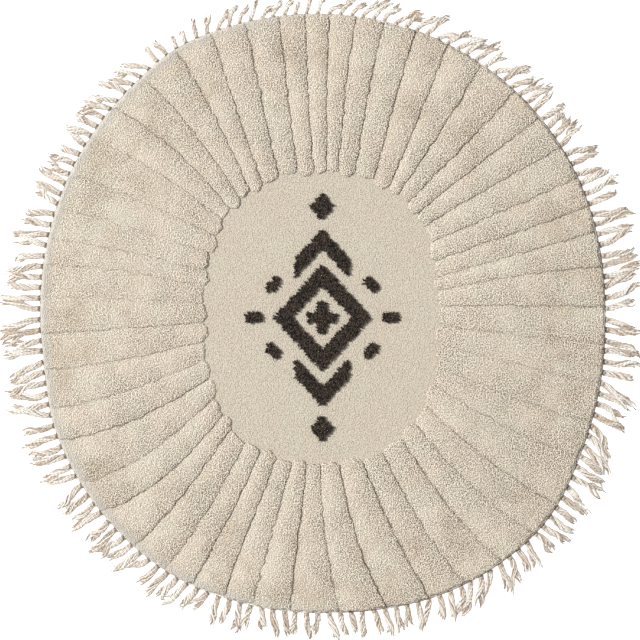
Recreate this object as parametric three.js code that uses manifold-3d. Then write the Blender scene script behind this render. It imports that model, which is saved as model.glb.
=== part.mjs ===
// A round low pile rug of natural cotton, lying flat: tufted ribs fan out from a flat woven oval to
// the rim, a charcoal diamond motif is tufted in the oval, and knotted tassels stand all round.
// Millimetres, +Z up out of the pile, +Y towards the head of the rug. The origin is the middle of
// the underside. All angles are in degrees, counterclockwise from +X, seen from above.
import * as THREE from "three";
import { mergeVertices } from "three/addons/utils/BufferGeometryUtils.js";
import Module from "manifold-3d";

const wasm = await Module();
wasm.setup();

// Driving sizes of the cloth and its pile.
const GROUND_THICKNESS = 3;
const PILE_CROWN = 13.5;
const GROOVE_FLOOR = 6.5;
const CROWN_VARIATION = 0.8;
const RIM_ROUNDING = 6;
const END_ROUNDING = 8;
const SHOULDER_SHARE = 0.72;
const SHOULDER_INSET = 1.4;

// The flat woven oval in the middle, a superellipse, and the rounded rib ends that stand round it.
const FIELD = { x: -2, y: -7, halfWidth: 226, halfHeight: 278, roundness: 2.5 };
const SCALLOP_DEPTH = 9;
const END_UNEVENNESS = 7;

// Tassels, in twelve runs round the rim. Each run is sewn to a narrow strip beside the cloth's edge,
// and stops this many degrees short of its neighbour's half of the way. Tassels lean in pairs.
const RUNS = 12;
const TASSELS_PER_RUN = 14;
const TASSEL_COUNT = RUNS * TASSELS_PER_RUN;
const PIECE_GAP = 0.3;
const STRIP = { width: 2.6, height: 2.6 };
const RUN_CLEARANCE = 0.04;
const PAIR_LEAN = 4;
const LEAN_AT_ROOT = 0.4;

// Charcoal tufting in the oval.
const MOTIF_PILE = 9;
const MOTIF_ROUNDING = 1.6;
const STROKE = 27;

// The rim's distance from the middle. The rug is a little taller than wide, and cut by hand.
const RIM = [
  { at: 0, radius: 527 },
  { at: 15, radius: 532 },
  { at: 30, radius: 541 },
  { at: 50, radius: 550 },
  { at: 70, radius: 557 },
  { at: 90, radius: 561 },
  { at: 108, radius: 565 },
  { at: 119, radius: 567 },
  { at: 130, radius: 556 },
  { at: 148, radius: 543 },
  { at: 165, radius: 533 },
  { at: 180, radius: 529 },
  { at: 191, radius: 531 },
  { at: 203, radius: 545 },
  { at: 222, radius: 556 },
  { at: 240, radius: 563 },
  { at: 258, radius: 560 },
  { at: 275, radius: 559 },
  { at: 292, radius: 568 },
  { at: 304, radius: 571 },
  { at: 318, radius: 568 },
  { at: 332, radius: 547 },
  { at: 346, radius: 534 },
];

// The carved grooves between the ribs, one row each: the angle at which the groove meets the rim,
// passes the middle of the rib, and meets the oval.
const GROOVES = [
  { rim: 1.5, middle: 2.4, field: 3.8 },
  { rim: 9.7, middle: 10.9, field: 11.4 },
  { rim: 16.8, middle: 17.1, field: 17.6 },
  { rim: 22.2, middle: 22.8, field: 25.2 },
  { rim: 28.2, middle: 29.7, field: 33.2 },
  { rim: 35, middle: 37, field: 40.4 },
  { rim: 42.2, middle: 43.8, field: 46.6 },
  { rim: 49.2, middle: 50, field: 52.4 },
  { rim: 57.6, middle: 57.2, field: 57.6 },
  { rim: 65, middle: 64, field: 62.4 },
  { rim: 71.8, middle: 71.2, field: 69.4 },
  { rim: 78, middle: 78.3, field: 77.2 },
  { rim: 83.6, middle: 84.2, field: 83.8 },
  { rim: 88.8, middle: 88.9, field: 88.4 },
  { rim: 93.4, middle: 93.7, field: 93.5 },
  { rim: 98.4, middle: 99, field: 100 },
  { rim: 105, middle: 105.9, field: 107.6 },
  { rim: 111.5, middle: 112.8, field: 114.6 },
  { rim: 119.2, middle: 118.6, field: 120.4 },
  { rim: 127.4, middle: 125.4, field: 125.6 },
  { rim: 135.5, middle: 132, field: 131.2 },
  { rim: 143, middle: 139.2, field: 137 },
  { rim: 150.8, middle: 148, field: 144 },
  { rim: 158, middle: 155.6, field: 152 },
  { rim: 164.6, middle: 162.4, field: 160 },
  { rim: 170, middle: 168, field: 167 },
  { rim: 176.6, middle: 175.8, field: 175 },
  { rim: 184, middle: 184.3, field: 184 },
  { rim: 191.4, middle: 193, field: 193 },
  { rim: 199.3, middle: 201.5, field: 201.6 },
  { rim: 205.6, middle: 209.4, field: 209.8 },
  { rim: 215, middle: 218.8, field: 217.8 },
  { rim: 221.6, middle: 226, field: 225.4 },
  { rim: 231, middle: 232.2, field: 231.4 },
  { rim: 238.3, middle: 239.6, field: 239 },
  { rim: 244.3, middle: 245.2, field: 245.8 },
  { rim: 250.7, middle: 251, field: 252.3 },
  { rim: 256.3, middle: 257, field: 258.2 },
  { rim: 263.8, middle: 263.7, field: 264 },
  { rim: 273.2, middle: 270.7, field: 269 },
  { rim: 282.4, middle: 278.6, field: 276.4 },
  { rim: 290.6, middle: 288, field: 285 },
  { rim: 298, middle: 295, field: 293.4 },
  { rim: 306, middle: 303.2, field: 302.4 },
  { rim: 314, middle: 311, field: 310 },
  { rim: 321, middle: 318.6, field: 318.4 },
  { rim: 331, middle: 328.4, field: 327.6 },
  { rim: 338.2, middle: 336.4, field: 336 },
  { rim: 345.8, middle: 345.5, field: 345.2 },
  { rim: 353.8, middle: 353.8, field: 354.4 },
];

// How the tassels lie round the rim: their lean from straight out, counterclockwise, and length.
const SWEEP = [
  { at: 0, lean: 4, length: 54 },
  { at: 8, lean: 32, length: 64 },
  { at: 17, lean: 0, length: 62 },
  { at: 28, lean: -12, length: 58 },
  { at: 38, lean: 12, length: 52 },
  { at: 49, lean: -34, length: 50 },
  { at: 62, lean: -42, length: 46 },
  { at: 76, lean: -54, length: 46 },
  { at: 86, lean: -54, length: 38 },
  { at: 95, lean: 8, length: 25 },
  { at: 106, lean: -20, length: 30 },
  { at: 115, lean: -36, length: 36 },
  { at: 125, lean: 54, length: 38 },
  { at: 134, lean: 44, length: 48 },
  { at: 148, lean: 4, length: 50 },
  { at: 164, lean: 14, length: 52 },
  { at: 178, lean: 6, length: 66 },
  { at: 189, lean: 8, length: 66 },
  { at: 202, lean: -26, length: 58 },
  { at: 216, lean: 2, length: 50 },
  { at: 236, lean: -36, length: 56 },
  { at: 250, lean: -3, length: 48 },
  { at: 267, lean: 16, length: 46 },
  { at: 284, lean: -8, length: 46 },
  { at: 301, lean: -48, length: 54 },
  { at: 318, lean: 4, length: 50 },
  { at: 334, lean: -22, length: 58 },
  { at: 347, lean: -12, length: 58 },
];

// Sections of one tassel: the share of its length, its half width and its height above the floor.
const TASSEL_SECTIONS = [
  { along: 0, halfWidth: 1.5, height: 2.4 },
  { along: 0.12, halfWidth: 3.3, height: 5.6 },
  { along: 0.2, halfWidth: 2.1, height: 3.8 },
  { along: 0.62, halfWidth: 4.5, height: 5 },
  { along: 1, halfWidth: 3.2, height: 2.6 },
];

const COLOURS = { cotton: "#d8cdb6", charcoal: "#35302f", fringe: "#d6c6ae" };

const radians = THREE.MathUtils.degToRad;
const mix = THREE.MathUtils.lerp;

// An even spread of numbers from 0 to 1 that looks irregular: one for each index and each use.
function spread(index, use) {
  const value = index * 0.61803399 + use * 0.7548777;
  return value - Math.floor(value);
}

// Reads a column of a table round the rug at an angle, smoothly between the rows.
function readRound(table, column, angle) {
  const turned = ((angle % 360) + 360) % 360;
  const count = table.length;
  let next = table.findIndex((row) => row.at > turned);
  if (next < 0) next = count;
  const row = (offset) => {
    const index = next + offset;
    const wrapped = ((index % count) + count) % count;
    return { at: table[wrapped].at + 360 * Math.floor(index / count), value: table[wrapped][column] };
  };
  const [before, from, to, after] = [row(-2), row(-1), row(0), row(1)];
  const share = (turned - from.at) / (to.at - from.at);
  const slopeFrom = ((to.value - before.value) / (to.at - before.at)) * (to.at - from.at);
  const slopeTo = ((after.value - from.value) / (after.at - from.at)) * (to.at - from.at);
  const bend = THREE.MathUtils.smoothstep(share, 0, 1);
  const swing = share * (1 - share);
  return mix(from.value, to.value, bend) + swing * ((1 - share) * slopeFrom - share * slopeTo);
}

const rimRadius = (angle) => readRound(RIM, "radius", angle);

// The oval's edge, as a distance from the middle of the rug along an angle, found by halving.
function fieldRadius(angle) {
  const inside = (radius) => {
    const x = (radius * Math.cos(radians(angle)) - FIELD.x) / FIELD.halfWidth;
    const y = (radius * Math.sin(radians(angle)) - FIELD.y) / FIELD.halfHeight;
    return Math.abs(x) ** FIELD.roundness + Math.abs(y) ** FIELD.roundness < 1;
  };
  let low = 0;
  let high = FIELD.halfWidth + FIELD.halfHeight;
  for (let step = 0; step < 40; step += 1) {
    const middle = (low + high) / 2;
    if (inside(middle)) low = middle;
    else high = middle;
  }
  return low;
}

// The angle of a groove a share of the way from the oval to the rim, on a curve through its row.
function grooveAngle(index, share) {
  const turns = Math.floor(index / GROOVES.length);
  const row = GROOVES[index - turns * GROOVES.length];
  const wander = 4 * share * (1 - share) * (row.middle - (row.field + row.rim) / 2);
  return mix(row.field, row.rim, share) + wander + 360 * turns;
}

// A point across a rib has across -1 at one groove, 0 on the crown and 1 at the next groove.
const RIB_COLUMNS = [-1, -0.7, -0.25, 0.25, 0.7];

const ribAngle = (rib, across, share) =>
  mix(grooveAngle(rib, share), grooveAngle(rib + 1, share), (across + 1) / 2);

function pileHeight(rib, across) {
  const crown = PILE_CROWN + CROWN_VARIATION * (2 * spread(rib, 1) - 1);
  return mix(GROOVE_FLOOR, crown, (1 - Math.abs(across) ** 3) ** 0.6);
}

function ribEndRadius(rib, across) {
  const reach = END_UNEVENNESS * (2 * spread(rib, 2) - 1) * (1 - across ** 2);
  return fieldRadius(ribAngle(rib, across, 0)) - SCALLOP_DEPTH * Math.sqrt(1 - across ** 2) + reach;
}

// The rings of points that wrap the rug, from the middle of the underside, up the rim and back over
// the pile to the middle of the oval. Each gives a point's radius and height from its place on a rib.
const MIDDLE_SHARES = [0.8, 0.6, 0.4, 0.2];
const shoulder = (rib, across) => mix(GROUND_THICKNESS, pileHeight(rib, across), SHOULDER_SHARE);
const RUG_RINGS = [
  { share: 1, radius: () => 0, height: () => 0 },
  { share: 1, radius: (p) => p.rim, height: () => 0 },
  { share: 1, radius: (p) => p.rim, height: () => GROUND_THICKNESS },
  { share: 1, radius: (p) => p.rim - SHOULDER_INSET, height: (p) => shoulder(p.rib, p.across) },
  { share: 1, radius: (p) => p.rim - RIM_ROUNDING, height: (p) => pileHeight(p.rib, p.across) },
  ...MIDDLE_SHARES.map((share) => ({
    share,
    radius: (p) => mix(p.end, p.rim, share),
    height: (p) => pileHeight(p.rib, p.across),
  })),
  { share: 0, radius: (p) => p.end + END_ROUNDING, height: (p) => pileHeight(p.rib, p.across) },
  { share: 0, radius: (p) => p.end + SHOULDER_INSET, height: (p) => shoulder(p.rib, p.across) },
  { share: 0, radius: (p) => p.end, height: () => GROUND_THICKNESS },
  { share: 0, radius: () => 0, height: () => GROUND_THICKNESS },
];

// The ground cloth with its ribbed pile: one lathe-turned solid whose points are then set in place.
function rugGeometry() {
  const columns = GROOVES.length * RIB_COLUMNS.length;
  const profile = RUG_RINGS.map((ring, index) => new THREE.Vector2(index ? 1 : 0, index));
  const geometry = new THREE.LatheGeometry(profile, columns);
  const position = geometry.getAttribute("position");
  for (let index = 0; index < position.count; index += 1) {
    const column = Math.floor(index / RUG_RINGS.length) % columns;
    const ring = RUG_RINGS[index % RUG_RINGS.length];
    const rib = Math.floor(column / RIB_COLUMNS.length);
    const across = RIB_COLUMNS[column % RIB_COLUMNS.length];
    const angle = ribAngle(rib, across, ring.share);
    const place = { rib, across, rim: rimRadius(angle), end: ribEndRadius(rib, across) };
    const radius = ring.radius(place);
    const [x, y] = [radius * Math.cos(radians(angle)), radius * Math.sin(radians(angle))];
    position.setXYZ(index, x, y, ring.height(place));
  }
  return geometry;
}

// Makes a closed solid of a geometry. Only the points' places count, so its seams are merged first.
function solidOf(geometry) {
  const bare = geometry.clone();
  bare.deleteAttribute("normal");
  bare.deleteAttribute("uv");
  const merged = mergeVertices(bare, 1e-4);
  const vertProperties = new Float32Array(merged.getAttribute("position").array);
  const triVerts = new Uint32Array(merged.index.array);
  return new wasm.Manifold(new wasm.Mesh({ numProp: 3, vertProperties, triVerts }));
}

function geometryOf(solid) {
  const mesh = solid.getMesh();
  const geometry = new THREE.BufferGeometry();
  geometry.setAttribute("position", new THREE.BufferAttribute(new Float32Array(mesh.vertProperties), 3));
  geometry.setIndex(new THREE.BufferAttribute(new Uint32Array(mesh.triVerts), 1));
  return geometry;
}

// The strip of one run: a box bent round the rim, just outside the cloth's edge.
function stripGeometry(fromAngle, toAngle) {
  const geometry = new THREE.BoxGeometry(1, 1, 1, TASSELS_PER_RUN, 1, 1);
  const position = geometry.getAttribute("position");
  for (let index = 0; index < position.count; index += 1) {
    const angle = mix(toAngle, fromAngle, position.getX(index) + 0.5);
    const radius = stripRadius(angle) + STRIP.width * (position.getY(index) + 0.5);
    const height = STRIP.height * (position.getZ(index) + 0.5);
    position.setXYZ(index, radius * Math.cos(radians(angle)), radius * Math.sin(radians(angle)), height);
  }
  return geometry;
}

// The strip's inner side clears the rug's flat-sided rim by at least the gap between two pieces.
const RIM_FLATNESS = 0.2;
const stripRadius = (angle) => rimRadius(angle) + PIECE_GAP + RIM_FLATNESS;

// Where a tassel hangs and how it lies. Neighbours lean together in pairs, as knotted fringe does.
function tasselLie(index) {
  const at = (360 * (index + 0.5)) / TASSEL_COUNT;
  const towardsMate = (index % 2 ? -1 : 1) * PAIR_LEAN * (0.4 + spread(index >> 1, 3));
  const lean = readRound(SWEEP, "lean", at) + towardsMate;
  const length = readRound(SWEEP, "length", at) * (0.92 + 0.16 * spread(index, 4));
  return { at, lean, length };
}

// The centre line of a tassel on the floor: straight out at the knot, then more and more along its lean.
function tasselLine(index) {
  const { at, lean, length } = tasselLie(index);
  const start = stripRadius(at) + STRIP.width / 2;
  const point = { x: start * Math.cos(radians(at)), y: start * Math.sin(radians(at)) };
  let passed = 0;
  return TASSEL_SECTIONS.map((section) => {
    const heading = radians(at + lean * mix(LEAN_AT_ROOT, 1, (passed + section.along) / 2));
    const step = (section.along - passed) * length;
    point.x += step * Math.cos(heading);
    point.y += step * Math.sin(heading);
    passed = section.along;
    return { ...section, heading, x: point.x, y: point.y };
  });
}

// A three-sided prism of radius 1 has its ridge at 1, its feet at these heights and half widths.
const PRISM_FOOT = Math.cos((2 * Math.PI) / 3);
const PRISM_HALF_WIDTH = Math.sin((2 * Math.PI) / 3);

// One three-sided lock, flat on the floor, with its knot near the root and its belly further out.
function tasselGeometry(index) {
  const line = tasselLine(index);
  const bands = line.length - 1;
  const geometry = new THREE.CylinderGeometry(1, 1, 1, 3, bands);
  const position = geometry.getAttribute("position");
  for (let point = 0; point < position.count; point += 1) {
    const section = line[Math.round((0.5 - position.getY(point)) * bands)];
    const sideways = (position.getX(point) / PRISM_HALF_WIDTH) * section.halfWidth;
    const height = ((position.getZ(point) - PRISM_FOOT) / (1 - PRISM_FOOT)) * section.height;
    const x = section.x - sideways * Math.sin(section.heading);
    const y = section.y + sideways * Math.cos(section.heading);
    position.setXYZ(point, x, y, height);
  }
  return geometry;
}

// One run of fringe: its tassels fused at their roots into its strip.
function fringeRun(run) {
  const pitch = 360 / TASSEL_COUNT;
  const first = run * TASSELS_PER_RUN;
  const from = first * pitch + RUN_CLEARANCE;
  const to = (first + TASSELS_PER_RUN) * pitch - RUN_CLEARANCE;
  let fringe = solidOf(stripGeometry(from, to));
  for (let index = first; index < first + TASSELS_PER_RUN; index += 1) {
    fringe = fringe.add(solidOf(tasselGeometry(index)));
  }
  return geometryOf(fringe);
}

// Charcoal pile standing on the oval, of one outline. Its top edge is rounded and its foot is flat.
function motifGeometry(shape) {
  const geometry = new THREE.ExtrudeGeometry(shape, {
    depth: MOTIF_PILE - MOTIF_ROUNDING,
    bevelThickness: MOTIF_ROUNDING,
    bevelSize: MOTIF_ROUNDING,
    bevelOffset: -MOTIF_ROUNDING,
    bevelSegments: 1,
  });
  const position = geometry.getAttribute("position");
  for (let index = 0; index < position.count; index += 1) {
    position.setZ(index, Math.max(position.getZ(index), 0));
  }
  return geometry;
}

const outline = (points) => new THREE.Shape(points.map(([x, y]) => new THREE.Vector2(x, y)));

function diamond(halfWidth, halfHeight) {
  return outline([
    [halfWidth, 0],
    [0, halfHeight],
    [-halfWidth, 0],
    [0, -halfHeight],
  ]);
}

// An open diamond whose band is one stroke wide.
function openDiamond(halfWidth, halfHeight) {
  const shape = diamond(halfWidth, halfHeight);
  const slant = Math.hypot(halfWidth, halfHeight);
  const inner = diamond(
    halfWidth - (STROKE * slant) / halfHeight,
    halfHeight - (STROKE * slant) / halfWidth,
  );
  shape.holes.push(new THREE.Path(inner.getPoints().reverse()));
  return shape;
}

function cross(halfLength, halfStroke) {
  const [far, near] = [halfLength, halfStroke];
  return outline([
    [far, -near],
    [far, near],
    [near, near],
    [near, far],
    [-near, far],
    [-near, near],
    [-far, near],
    [-far, -near],
    [-near, -near],
    [-near, -far],
    [near, -far],
    [near, -near],
  ]);
}

// A bent bar that points away from the middle, with square-cut ends.
function chevron(halfWidth, rise, thickness) {
  return outline([
    [halfWidth, 0],
    [halfWidth, thickness],
    [0, rise + thickness],
    [-halfWidth, thickness],
    [-halfWidth, 0],
    [0, rise],
  ]);
}

function dash(halfLength, halfWidth) {
  const corner = 0.35;
  const [x, y] = [halfLength, halfWidth];
  return outline([
    [x, -y * corner],
    [x, y * corner],
    [x - y * corner, y],
    [-x + y * corner, y],
    [-x, y * corner],
    [-x, -y * corner],
    [-x + y * corner, -y],
    [x - y * corner, -y],
  ]);
}

// The charcoal motif, a traditional diamond with a cross in it, one row for each tufted piece. Places
// are measured from the middle of the oval, and a turn is about the piece's own middle.
const LOZENGE = { halfWidth: 92, halfHeight: 100 };
const CHEVRON = { halfWidth: 52, rise: 56, thickness: 36, from: 74 };
const TIP_DIAMOND = { halfWidth: 23, halfHeight: 26, from: 208 };
const DASH = { halfLength: 17, halfWidth: 9.5, besideX: 128, cornerX: 92, cornerY: 62, turn: 47 };
const MOTIF = [
  { name: "motif_lozenge", shape: openDiamond(LOZENGE.halfWidth, LOZENGE.halfHeight), x: 0, y: 0, turn: 0 },
  { name: "motif_cross", shape: cross(29, 10), x: 0, y: 0, turn: 0 },
];
for (const [end, side, turn] of [
  ["head", 1, 0],
  ["foot", -1, 180],
]) {
  const bar = chevron(CHEVRON.halfWidth, CHEVRON.rise, CHEVRON.thickness);
  const tip = diamond(TIP_DIAMOND.halfWidth, TIP_DIAMOND.halfHeight);
  MOTIF.push({ name: `motif_chevron_${end}`, shape: bar, x: 0, y: side * CHEVRON.from, turn });
  MOTIF.push({ name: `motif_diamond_${end}`, shape: tip, x: 0, y: side * TIP_DIAMOND.from, turn });
}
for (const [place, side] of [
  ["right", 1],
  ["left", -1],
]) {
  const bar = dash(DASH.halfLength, DASH.halfWidth);
  const upper = { x: side * DASH.cornerX, y: DASH.cornerY, turn: -side * DASH.turn };
  const lower = { x: side * DASH.cornerX, y: -DASH.cornerY, turn: side * DASH.turn };
  MOTIF.push({ name: `motif_dash_${place}_upper`, shape: bar, ...upper });
  MOTIF.push({ name: `motif_dash_${place}_middle`, shape: bar, x: side * DASH.besideX, y: 0, turn: 0 });
  MOTIF.push({ name: `motif_dash_${place}_lower`, shape: bar, ...lower });
}

const clothMaterial = (color) => new THREE.MeshStandardMaterial({ color, roughness: 0.95, metalness: 0 });
const cotton = clothMaterial(COLOURS.cotton);
const charcoal = clothMaterial(COLOURS.charcoal);
const fringeYarn = clothMaterial(COLOURS.fringe);

function addMesh(parent, name, geometry, material) {
  const mesh = new THREE.Mesh(geometry, material);
  mesh.name = name;
  parent.add(mesh);
  return mesh;
}

const rug = new THREE.Group();
addMesh(rug, "rug", rugGeometry(), cotton);

const motif = new THREE.Group();
motif.position.set(FIELD.x, FIELD.y, GROUND_THICKNESS + PIECE_GAP);
for (const piece of MOTIF) {
  const mesh = addMesh(motif, piece.name, motifGeometry(piece.shape), charcoal);
  mesh.position.set(piece.x, piece.y, 0);
  mesh.rotation.z = radians(piece.turn);
}
rug.add(motif);

for (let run = 0; run < RUNS; run += 1) {
  addMesh(rug, `fringe_${String(run + 1).padStart(2, "0")}`, fringeRun(run), fringeYarn);
}

export default rug;
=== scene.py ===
# The looks of a round low pile rug: cotton pile in carved ribs, a flat woven oval with charcoal
# tufting on it, and a fringe of knotted tassels. Sizes in the tables and in the making of a mesh are
# in millimetres, and angles are in degrees, counterclockwise from +X, seen from above.
import math

import bpy
import numpy as np
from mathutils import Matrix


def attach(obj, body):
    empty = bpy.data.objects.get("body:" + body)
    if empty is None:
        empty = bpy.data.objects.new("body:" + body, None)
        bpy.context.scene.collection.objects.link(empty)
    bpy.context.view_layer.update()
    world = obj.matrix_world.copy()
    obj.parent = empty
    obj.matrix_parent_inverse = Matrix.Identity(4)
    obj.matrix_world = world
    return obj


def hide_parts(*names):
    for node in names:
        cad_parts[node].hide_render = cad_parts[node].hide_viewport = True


MM = 0.001

# The cloth and its pile. The pile drops towards the oval and a little at the rim, and open grooves
# are deeper than closed ones. The plan is that of the solids.
GROUND_THICKNESS = 3.0
PILE_CROWN = 13.5
CROWN_VARIATION = 0.8
END_DROP = 6.5
RIM_DROP = 0.8
RIM_DROP_FROM = 0.9
RIB_BULGE = 1.4
GROOVE_DEPTH = 2.3
SHALLOW_GROOVE_DEPTH = 1.0
GROOVE_SHARPNESS = 36
RIM_ROUNDING = 4.5
END_ROUNDING = 6.5
FIELD_X = -2.0
FIELD_Y = -7.0
FIELD_HALF_WIDTH = 226.0
FIELD_HALF_HEIGHT = 278.0
FIELD_ROUNDNESS = 2.5
SCALLOP_DEPTH = 9.0
END_UNEVENNESS = 7.0

# How finely the pile and the ground cloth are modelled, and how far pile is sunk into the cloth.
RIBS = 50
COLUMNS_PER_RIB = 34
COLUMN_CROWDING = 1.15
TOP_ROWS = 138
WALL_ROWS = 8
RIBS_PER_PIECE = 10
PILE_ROOT_DEPTH = 0.4
LEAST_PILE = 0.2
GROUND_COLUMNS = 360
GROUND_RINGS = 50
GROUND_CENTRE_RISE = 0.1
HEM_ROUNDING = 1.1
HEM_STEPS = 7

# The relief of the cloth: tufts, lumps a finger wide, short partings where tufts lie apart, grooves
# that wander and ragged edges. Each layer of noise is a size and a height.
TUFT_SIZE = 4.0
TUFT_RELIEF = 1.2
LUMP_LAYERS = ((32.0, 0.7), (32.0 / 3, 0.28))
LUMPS_ON_WALLS = 0.3
PARTING_LAYERS = ((15.0, 1.0), (5.0, 0.4))
PARTING_SPACING = 36.0
PARTING_WIDTH = 0.09
PARTING_DEPTH = 1.0
WANDER_LAYERS = ((13.0, 2.0), (6.5, 1.6))
WANDER_AT_FOOT = 0.4
RAGGED_LAYERS = ((6.5, 2.0), (3.6, 1.2))
RAGGED_ROWS = 4
GROUND_LAYERS = ((45.0, 0.08), (14.0, 0.05))

# Where grooves get painted shade, as a share of a rib's half width, and how rough the pile looks, with
# painted shade in its grain: more to the right, on flanks that face away from the light, towards the
# grooves and down the rib ends' walls. At the rim the left is painted smooth and lit, and the right
# has painted shade.
GROOVE_SHADE_SPAN = (0.93, 0.985)
GROOVE_SHADE_BREAK = 14.0
ROUGHNESS = 0.72
ROUGH_LAYERS = ((48.0, 0.2), (17.0, 0.15))
SHADE_TO_RIGHT = 0.07
SHADE_AWAY_FROM_LIGHT = 0.22
SHADE_AT_GROOVES = 0.3
ROUGHEST = 1.4
RIM_LIGHT_AND_SHADE = (0.3, 1.15)
END_FOOT_SHADE = 1.5
RIM_ROWS = 3
LIT_BAND_ROWS = 8
PAINTED_LIGHT_AZIMUTH = 165.0

# The fringe. Tassels hang in pairs that lean together, swing to a side and clump unevenly.
RUNS = 12
TASSELS_PER_RUN = 14
TASSEL_COUNT = RUNS * TASSELS_PER_RUN
STRIP_OFFSET = 0.5
STRIP_WIDTH = 2.6
STRIP_HEIGHT = 2.6
RUN_CLEARANCE = 0.04
PAIR_LEAN = 4.0
PAIR_SWING = 36.0
LEAN_AT_ROOT = 0.4
CLUMPING = 9.0
CURL = 56.0
SWAY = 24.0
SHORTEST = 0.88
LENGTH_SPREAD = 0.32
STITCHES_PER_RUN = 84
STITCH_RADIUS = 1.4
STITCH_DIP_RADIUS = 1.1

# The yarn of the tassels, its knots and loose threads. Pairs of numbers are the least and the most,
# and a profile's rows are a share of the length and what it has there.
YARNS_PER_TASSEL = 8
YARN_RADIUS = 1.8
YARN_POINTS = 13
YARN_SIDES = 5
TWIST_LENGTH = 7.0
TASSEL_STEPS = 60
TASSEL_TURNS = (0.3, 1.1)
UNSPLIT_SHARE = 0.55
LOCK_SPLIT = (1.5, 4.5)
YARN_REACH = (0.84, 1.1)
YARN_VARIATION = (0.8, 1.2)
CRIMP = (0.3, 1.1)
CRIMP_WAVES = (2, 4)
END_SPREAD = 1.6
FRAY_LENGTH = (2, 7)
FRAY_BEND = 0.45
FRAY_RADII = (0.5, 0.4, 0.15)
KNOT_ALONG = 0.07
KNOT_HEIGHT = 3.0
KNOT_RADIUS = (2.7, 4.0)
KNOT_PROFILE = (0.25, 0.72, 0.95, 1.0, 1.0, 0.93, 0.7, 0.35)
BUNDLE_PROFILE = ((0, 4.6), (KNOT_ALONG, 4.2), (0.15, 4.9), (0.3, 5.0), (0.7, 5.0), (1, 4.6))
YARN_PROFILE = ((0, 0.75), (0.08, 0.75), (0.2, 1.0), (0.85, 1.1), (1, 0.6))
STRAY_SHARE = 0.7
STRAY_POINTS = 14
STRAY_BOW = 14.0
STRAY_RADIUS = 0.42

# The charcoal tufting. Its outlines are those of the solids.
MOTIF_PILE = 6.5
STROKE = 27.0
LOZENGE = {"half_width": 92, "half_height": 100}
CROSS = {"far": 29, "near": 10}
CHEVRON = {"half_width": 52, "rise": 56, "thickness": 36}
CHEVRON_FROM = 74
TIP = {"half_width": 23, "half_height": 26}
TIP_FROM = 208
DASH = {"half_length": 17, "half_width": 9.5}
DASH_BESIDE_X = 128
DASH_CORNER_X = 92
DASH_CORNER_Y = 62
DASH_TURN = 47
TUFT_PITCH = 3.2
TUFT_RADIUS = 1.95
TUFT_SIDES = 5
TUFT_RISE = (0.0, 0.55, 0.88, 1.0)
TUFT_PROFILE = (0.85, 1.05, 0.9, 0.25)
EDGE_INSET = 1.0
EDGE_DROP = 1.6
EDGE_REACH = 3.0
EDGE_LEAN = 2.2
LEAN_REACH = 7.0
FIBRES_PER_EDGE_TUFT = 2
FIBRE_LENGTH = (0.5, 4.2)
FIBRE_RADII = (0.8, 0.8, 0.65, 0.3)

# The materials: the grain of the tufts, of the curls in their yarn and of the flat weave's yarns.
BLACK = (0, 0, 0, 1)
WHITE = (1, 1, 1, 1)
TUFT_GRAIN = 2.7
CURL_GRAIN = 2.2
YARN_PITCH = 2.1
WEAVE_GRAIN = 2.3

# The photograph's frame: 640 pixels are 1.2 m, and its middle is this far from the rug's middle.
VIEW_WIDTH = 1200.0
VIEW_X = -5.6
VIEW_Y = -11.3

# The camera, the floor and the lights. Distances are in metres, and the sensor's width is not.
CAMERA_HEIGHT = 6.0
SENSOR_WIDTH = 36.0
FLOOR_SIZE = 40.0
FLOOR_DEPTH = 0.0004
FLOOR_WHITE = 0.93
FLOOR_GLOW = 0.7
KEY_AZIMUTH = 162.0
KEY_ELEVATION = 44.0
KEY_DISTANCE = 18.0
KEY_SIZE = 2.6
KEY_LIGHT = 4.4
SKY_STRENGTH = 0.56


def columns(names, rows):
    """A table's columns by name."""
    return dict(zip(names, np.array(rows, float).T, strict=True))


# The rim's distance from the middle.
RIM = columns(("at", "radius"), (
    (0, 527), (15, 532), (30, 541), (50, 550), (70, 557), (90, 561), (108, 565), (119, 567),
    (130, 556), (148, 543), (165, 533), (180, 529), (191, 531), (203, 545), (222, 556),
    (240, 563), (258, 560), (275, 559), (292, 568), (304, 571), (318, 568), (332, 547), (346, 534),
))

# The carved grooves: the angle at the rim, at the middle of the rib and at the oval.
GROOVES = columns(("rim", "middle", "field"), (
    (1.5, 2.4, 3.8), (9.7, 10.9, 11.4), (16.8, 17.1, 17.6), (22.2, 22.8, 25.2),
    (28.2, 29.7, 33.2), (35, 37, 40.4), (42.2, 43.8, 46.6), (49.2, 50, 52.4),
    (57.6, 57.2, 57.6), (65, 64, 62.4), (71.8, 71.2, 69.4), (78, 78.3, 77.2),
    (83.6, 84.2, 83.8), (88.8, 88.9, 88.4), (93.4, 93.7, 93.5), (98.4, 99, 100),
    (105, 105.9, 107.6), (111.5, 112.8, 114.6), (119.2, 118.6, 120.4), (127.4, 125.4, 125.6),
    (135.5, 132, 131.2), (143, 139.2, 137), (150.8, 148, 144), (158, 155.6, 152),
    (164.6, 162.4, 160), (170, 168, 167), (176.6, 175.8, 175), (184, 184.3, 184),
    (191.4, 193, 193), (199.3, 201.5, 201.6), (205.6, 209.4, 209.8), (215, 218.8, 217.8),
    (221.6, 226, 225.4), (231, 232.2, 231.4), (238.3, 239.6, 239), (244.3, 245.2, 245.8),
    (250.7, 251, 252.3), (256.3, 257, 258.2), (263.8, 263.7, 264), (273.2, 270.7, 269),
    (282.4, 278.6, 276.4), (290.6, 288, 285), (298, 295, 293.4), (306, 303.2, 302.4),
    (314, 311, 310), (321, 318.6, 318.4), (331, 328.4, 327.6), (338.2, 336.4, 336),
    (345.8, 345.5, 345.2), (353.8, 353.8, 354.4),
))
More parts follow.
